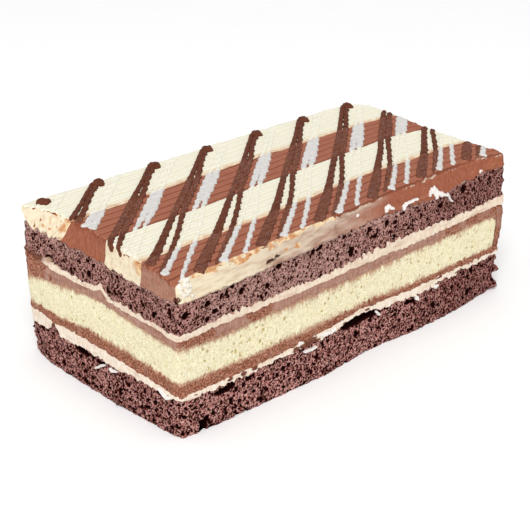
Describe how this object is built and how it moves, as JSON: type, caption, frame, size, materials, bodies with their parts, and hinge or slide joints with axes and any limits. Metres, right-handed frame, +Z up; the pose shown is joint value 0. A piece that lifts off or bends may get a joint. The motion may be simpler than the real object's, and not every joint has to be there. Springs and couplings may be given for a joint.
{
  "type": "chocolate sheet cake",
  "caption": "Rectangular cut of layered sheet cake: dark and pale sponge with white and chocolate creams, combed ivory and chocolate striped icing with crossed drizzle.",
  "frame": {"origin": "middle of the flat base, at the bottom of the whole cake's box", "axes": "+X along the long side, +Y towards the uncut long back side, +Z up through the layers to the icing"},
  "size_m": [0.1767, 0.0909, 0.06],
  "materials": {
    "dark_sponge": "open dark chocolate sponge crumb, dull, with pores of 0.5 to 1.5 mm",
    "pale_sponge": "fine pale yellow sponge crumb, dull",
    "white_cream": "soft white buttercream, knife-cut",
    "chocolate_cream": "soft milk chocolate cream, knife-cut",
    "ivory_icing": "combed ivory icing, satin",
    "chocolate_icing": "combed milk chocolate icing, satin",
    "dark_drizzle": "set dark chocolate drizzle, soft sheen",
    "white_drizzle": "set white sugar drizzle, cool white, soft sheen"
  },
  "bodies": {
    "root": {"sponge_bottom": "dark_sponge", "cream_lower_white": "white_cream", "cream_lower_chocolate": "chocolate_cream", "sponge_middle": "pale_sponge", "cream_upper_chocolate": "chocolate_cream", "cream_upper_white": "white_cream", "sponge_top": "dark_sponge", "icing_ivory_edge": "ivory_icing", "icing_chocolate_front": "chocolate_icing", "icing_ivory_front": "ivory_icing", "icing_chocolate_back": "chocolate_icing", "icing_ivory_back": "ivory_icing"}
  },
  "joints": []
}
